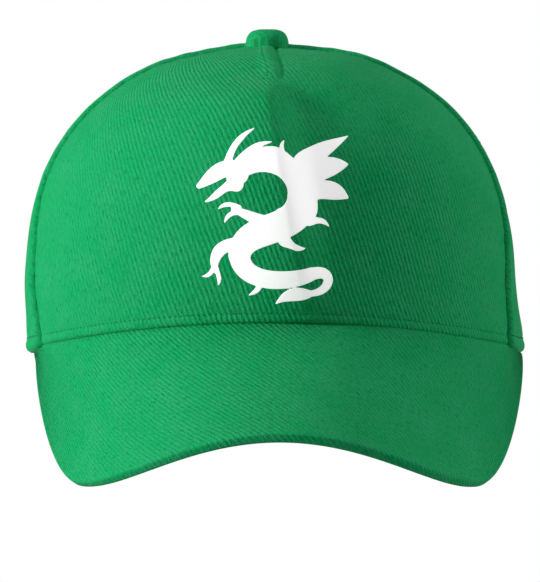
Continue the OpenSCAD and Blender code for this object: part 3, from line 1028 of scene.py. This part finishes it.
class Graph:
    """Short calls for building a material's nodes."""

    def __init__(self, name):
        self.mat = bpy.data.materials.new(name)
        self.mat.use_nodes = True
        self.nodes = self.mat.node_tree.nodes
        self.links = self.mat.node_tree.links
        self.shader = self.nodes["Principled BSDF"]

    def put(self, socket, value):
        if isinstance(value, bpy.types.NodeSocket):
            self.links.new(value, socket)
        else:
            socket.default_value = value

    def add(self, kind, **inputs):
        node = self.nodes.new("ShaderNode" + kind)
        for name, value in inputs.items():
            self.put(node.inputs[name], value)
        return node

    def surface(self, name, value):
        """Sets or feeds one of the shader's own sockets."""
        self.put(self.shader.inputs[name], value)

    def place(self):
        """Each point's place on its flat cloth, in mm."""
        node = self.add("Attribute")
        node.attribute_name = "cloth_mm"
        return node.outputs["Vector"]

    def math(self, operation, *values):
        node = self.add("Math")
        node.operation = operation
        for socket, value in zip(node.inputs, values):
            self.put(socket, value)
        return node.outputs[0]

    def times(self, a, b):
        return self.math("MULTIPLY", a, b)

    def plus(self, a, b):
        return self.math("ADD", a, b)

    def dot(self, vector, way):
        node = self.add("VectorMath")
        node.operation = "DOT_PRODUCT"
        self.put(node.inputs[0], vector)
        node.inputs[1].default_value = way
        return node.outputs["Value"]

    def pair(self, a, b):
        return self.add("CombineXYZ", X=a, Y=b).outputs["Vector"]

    def wave(self, value, pitch):
        """A sine that repeats every pitch mm of value."""
        return self.math("SINE", self.times(value, 2 * math.pi / pitch))

    def weave(self, place, pitch):
        """Rows at right angles to each other, over and under."""
        return self.times(self.wave(self.dot(place, RIGHT), pitch), self.wave(self.dot(place, UP), pitch))

    def noise(self, vector, scale, detail=3.0, roughness=0.6):
        node = self.add("TexNoise", Vector=vector, Scale=scale, Detail=detail, Roughness=roughness)
        return node.outputs["Fac"]

    def ramp(self, value, low, high, at_low, at_high):
        """Fades from one colour where value is low to another where it is high."""
        node = self.add("ValToRGB", Fac=value)
        for element, at, colour in zip(node.color_ramp.elements, (low, high), (at_low, at_high)):
            element.position = at
            element.color = (*colour, 1.0)
        return node.outputs["Color"]

    def grey(self, value, low, high, at_low=0.0, at_high=1.0):
        return self.ramp(value, low, high, (at_low,) * 3, (at_high,) * 3)

    def rough(self, value, least, most):
        self.surface("Roughness", self.grey(value, 0.2, 0.8, least, most))

    def blend(self, amount, a, b, kind="MIX"):
        node = self.add("Mix")
        node.data_type = "RGBA"
        node.blend_type = kind
        self.put(node.inputs[0], amount)
        for socket, value in ((node.inputs[6], a), (node.inputs[7], b)):
            self.put(socket, value if isinstance(value, bpy.types.NodeSocket) else (*value, 1.0))
        return node.outputs[2]

    def bump(self, height, distance, strength=1.0):
        node = self.add("Bump", Height=height, Distance=distance, Strength=strength)
        self.surface("Normal", node.outputs["Normal"])


RIGHT = (1.0, 0.0, 0.0)
UP = (0.0, 1.0, 0.0)
GREEN = (0.001, 0.37, 0.112)
# a whitish tone for the paler patches: partly random wear, partly painted sheen
PALE_WEAR_AND_SHEEN = (0.016, 0.012, 0.026)
RIB_PITCH = 1.65
THREAD_PITCH = 0.9


def shade(colour, amount):
    return tuple(c * amount for c in colour)


def twill(name, angle, ribs, colour=GREEN):
    """Brushed cotton twill: slanting ribs broken up by threads, a soft nap, uneven dye, and paler patches of
    painted sheen.

    angle is the ribs' slope on the flat cloth, in degrees from its width, and ribs is how much
    they show. The paler patches add a whitish tone to the dye: partly random wear of the nap, partly painted
    sheen.
    """
    g = Graph(name)
    place = g.place()
    slope = math.radians(angle)
    across = g.dot(place, (-math.sin(slope), math.cos(slope), 0.0))
    along = g.dot(place, (math.cos(slope), math.sin(slope), 0.0))
    wander = g.times(g.noise(place, 0.16, 2.0), 3.2)
    turns = g.plus(g.times(across, 2 * math.pi / RIB_PITCH), wander)
    rib = g.math("MULTIPLY_ADD", g.math("SINE", turns), 0.5, 0.5)
    fine = g.noise(place, 1.9, 4.0, 0.7)
    nap = g.noise(place, 0.55, 4.0, 0.65)
    patches = g.noise(place, 0.07)
    slubs = g.noise(g.pair(g.times(along, 0.42), g.times(across, 1.5)), 1.0, 3.0, 0.65)
    shown = g.times(g.times(rib, g.grey(nap, 0.3, 0.65, 0.1)), ribs)
    light = shade(colour, 1.26)
    # the paler patches are partly random wear of the nap and partly painted sheen
    pale = tuple(c + extra for c, extra in zip(light, PALE_WEAR_AND_SHEEN))
    cloth = g.blend(g.grey(patches, 0.32, 0.66), light, pale)
    base = g.blend(1.0, cloth, g.grey(fine, 0.30, 0.70, 0.60), "MULTIPLY")
    base = g.blend(g.times(shown, 0.55), base, cloth)
    base = g.blend(1.0, base, g.ramp(slubs, 0.36, 0.50, (0.4, 0.70, 0.63), (1.0, 1.0, 1.0)), "MULTIPLY")
    g.surface("Base Color", base)
    g.rough(nap, 0.62, 0.80)
    g.surface("Specular IOR Level", 0.07)
    g.surface("Sheen Weight", 0.03)
    g.surface("Sheen Roughness", 0.4)
    g.surface("Sheen Tint", (0.85, 1.0, 0.9, 1.0))
    threads = g.times(g.wave(along, THREAD_PITCH), 0.06)
    g.bump(g.plus(shown, g.plus(g.times(fine, 0.7), threads)), 0.00028)
    return g.mat


def plain_weave(name, colour, pitch, depth=0.00015):
    """Over-and-under threads at right angles, for buckram and tapes."""
    g = Graph(name)
    place = g.place()
    weave = g.weave(place, pitch)
    fuzz = g.noise(place, 1.4)
    mixed = g.blend(g.grey(weave, 0.0, 0.6), shade(colour, 0.7), colour)
    g.surface("Base Color", g.blend(g.times(fuzz, 0.3), mixed, shade(colour, 0.8)))
    g.rough(fuzz, 0.8, 0.9)
    g.bump(g.plus(weave, g.times(fuzz, 0.6)), depth)
    return g.mat


def thread_material(name, colour):
    """Twisted polyester thread with a soft shine."""
    g = Graph(name)
    place = g.place()
    twist = g.math("SINE", g.plus(g.times(g.dot(place, RIGHT), 11.0), g.dot(place, UP)))
    fuzz = g.noise(place, 2.0)
    g.surface("Base Color", g.blend(g.grey(twist, 0.0, 0.8), shade(colour, 0.6), colour))
    g.rough(fuzz, 0.45, 0.65)
    g.surface("Specular IOR Level", 0.2)
    g.bump(g.plus(twist, fuzz), 0.00008)
    return g.mat


def film_material():
    """White matt transfer film, a little worn, with a painted glow of its own that keeps it white in shade.
    """
    g = Graph("print_white_film")
    place = g.place()
    grain = g.noise(place, 2.2, 4.0, 0.7)
    worn = g.noise(place, 0.25)
    g.surface("Base Color", g.ramp(worn, 0.3, 0.8, (0.96, 0.96, 0.95), (0.91, 0.92, 0.91)))
    g.rough(grain, 0.42, 0.6)
    # painted glow: the film gives off a little light so that shade doesn't grey it
    g.surface("Emission Color", (1.0, 1.0, 1.0, 1.0))
    g.surface("Emission Strength", 0.4)
    g.bump(grain, 0.00006, 0.6)
    return g.mat


def pile_material():
    """The loop side of the closure: a dense fuzz of small loops."""
    g = Graph("loop_pile_fuzz")
    loops = g.noise(g.place(), 1.3, 6.0, 0.85)
    g.surface("Base Color", g.ramp(loops, 0.3, 0.75, (0.001, 0.08, 0.03), (0.01, 0.30, 0.12)))
    g.rough(loops, 0.85, 1.0)
    g.surface("Specular IOR Level", 0.1)
    g.surface("Sheen Weight", 0.12)
    g.bump(loops, 0.0012)
    return g.mat


def hook_material():
    """The hook side: rows of small moulded hooks on a plastic tape."""
    g = Graph("hook_tape_plastic")
    place = g.place()
    rows = g.weave(place, 1.3)
    g.surface("Base Color", g.ramp(rows, 0.2, 0.7, (0.001, 0.06, 0.025), (0.004, 0.20, 0.08)))
    g.rough(g.noise(place, 0.7), 0.35, 0.55)
    g.bump(rows, 0.0004)
    return g.mat


def object_grain(name, colour, rough, scale, depth, metal=0.0):
    """A fine grained surface for the hard pieces carried over from the CAD."""
    g = Graph(name)
    coordinates = g.add("TexCoord").outputs["Object"]
    grain = g.noise(coordinates, scale, 4.0)
    marks = g.noise(coordinates, scale / 9)
    g.surface("Base Color", g.blend(marks, shade(colour, 0.8), colour))
    g.rough(grain, rough - 0.12, rough + 0.1)
    g.surface("Metallic", metal)
    g.bump(grain, depth)
    return g.mat


# ---- putting it together ----

def dress(piece, material, nodes=(), body="crown"):
    """Gives a piece its material, its body and the CAD nodes it stands for.

    A piece given no body is not attached to one.
    """
    piece.data.materials.append(material)
    if body:
        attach(piece, body)
    if nodes:
        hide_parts(*nodes)
    return piece


def build_crown(cloth_front, cloth_side):
    dress(make_front_panel(), cloth_front, ["front_panel"])
    for side, word in SIDES:
        dress(make_side_panel(side, word), cloth_side, [f"side_panel_{word}"])
        dress(make_back_panel(side, word), cloth_side, [f"back_panel_{word}"])


def build_inside(tape, buckram, lining):
    dress(make_backing(), buckram, ["front_panel_backing"])
    dress(make_sweatband(), lining, ["sweatband"])
    arch_v = float(level(180.0, OPENING_HEIGHT + 11))
    dart_width = 0.7 * TAPE_WIDTH
    tapes = [("seam_tape_back", lambda v: 180.0, arch_v, TAPE_WIDTH, 97),
             ("front_dart_tape", lambda v: 0.0, 0.74, dart_width, 47.5)]
    for side, word in SIDES:
        for place, seam, length in (("front", front_seam, 151), ("side", back_seam, 154)):
            tapes.append((f"seam_tape_{place}_{word}", lambda v, s=side, line=seam: s * line(v), 0.03,
                          TAPE_WIDTH, length))
    for node, seam, low, width, length in tapes:
        dress(make_tape(f"{node}_cloth", seam, low, 0.972, width), tape, [node])
    dress(make_binding(), tape, ["back_opening_binding"])


def build_visor(cloth):
    for face, meet, flat in (("top", 112.0, (236, 118, 16000)), ("under", 64.0, (232, 116, 15300))):
        dress(make_visor_cover(f"visor_cover_{face}", face == "top", meet), cloth,
              [f"visor_{face}_cover"])


def build_closure(cloth, pile, hooks, thread):
    strap = dress(make_strap(), cloth, ["strap_flap", "strap_root"], None)
    stitched = dress(make_strap_stitches(), thread, body=None)
    dress(make_hook_patch(), hooks, ["hook_patch"], "strap")
    dress(make_loop_strap(), cloth, ["loop_strap"])
    dress(make_loop_patch(), pile, ["loop_patch"])
    for piece in (strap, stitched):
        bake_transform(piece)


def build_trim(thread, cloth, film, steel):
    for side, word in SIDES:
        for place, t in (("side", SIDE_EYELET), ("back", BACK_EYELET)):
            dress(make_eyelet(f"eyelet_{place}_{word}_thread", side, t), thread,
                  [f"eyelet_{place}_{word}"])
    button = dress(make_button(), cloth, ["button_cover"])
    for make, node in ((make_button_shell, "button_shell"), (make_button_stud, "button_stud"),
                       (make_button_washer, "button_washer")):
        dress(make(), steel, [node])
    inner, outer = ARCH_STITCHES
    for piece in (make_rim_stitches(), make_dart_stitches(),
                  make_arch_stitches("arch_stitches_inner", inner),
                  make_arch_stitches("arch_stitches_outer", outer)):
        dress(piece, thread)
    dress(make_print(), film, ["front_print"])


def finish_board():
    """A better surface for the visor's board, which keeps its CAD shape."""
    board = object_grain("visor_board_plastic", (0.72, 0.72, 0.69), 0.55, 700.0, 0.00005)
    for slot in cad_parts["visor_board"].material_slots:
        slot.material = board


def build_cap():
    cloth_front = twill("twill_front", -70.0, 1.0)
    cloth_side = twill("twill_side", -55.0, 0.45)
    cloth_visor = twill("twill_visor", -54.0, 0.8)
    cloth_small = twill("twill_small", -45.0, 0.35)
    lining = twill("twill_sweatband", -50.0, 0.5, (0.003, 0.28, 0.09))
    thread = thread_material("green_thread", (0.002, 0.33, 0.10))
    tape = plain_weave("tape_weave", (0.003, 0.24, 0.075), 0.8)
    buckram = plain_weave("buckram_weave", (0.78, 0.78, 0.74), 1.3, 0.0003)
    build_crown(cloth_front, cloth_side)
    build_inside(tape, buckram, lining)
    build_visor(cloth_visor)
    build_closure(cloth_small, pile_material(), hook_material(), thread)
    steel = object_grain("stamped_steel", (0.55, 0.56, 0.57), 0.38, 900.0, 0.00003, metal=1.0)
    build_trim(thread, cloth_small, film_material(), steel)
    finish_board()


make_camera()
make_studio()
make_floor()
build_cap()
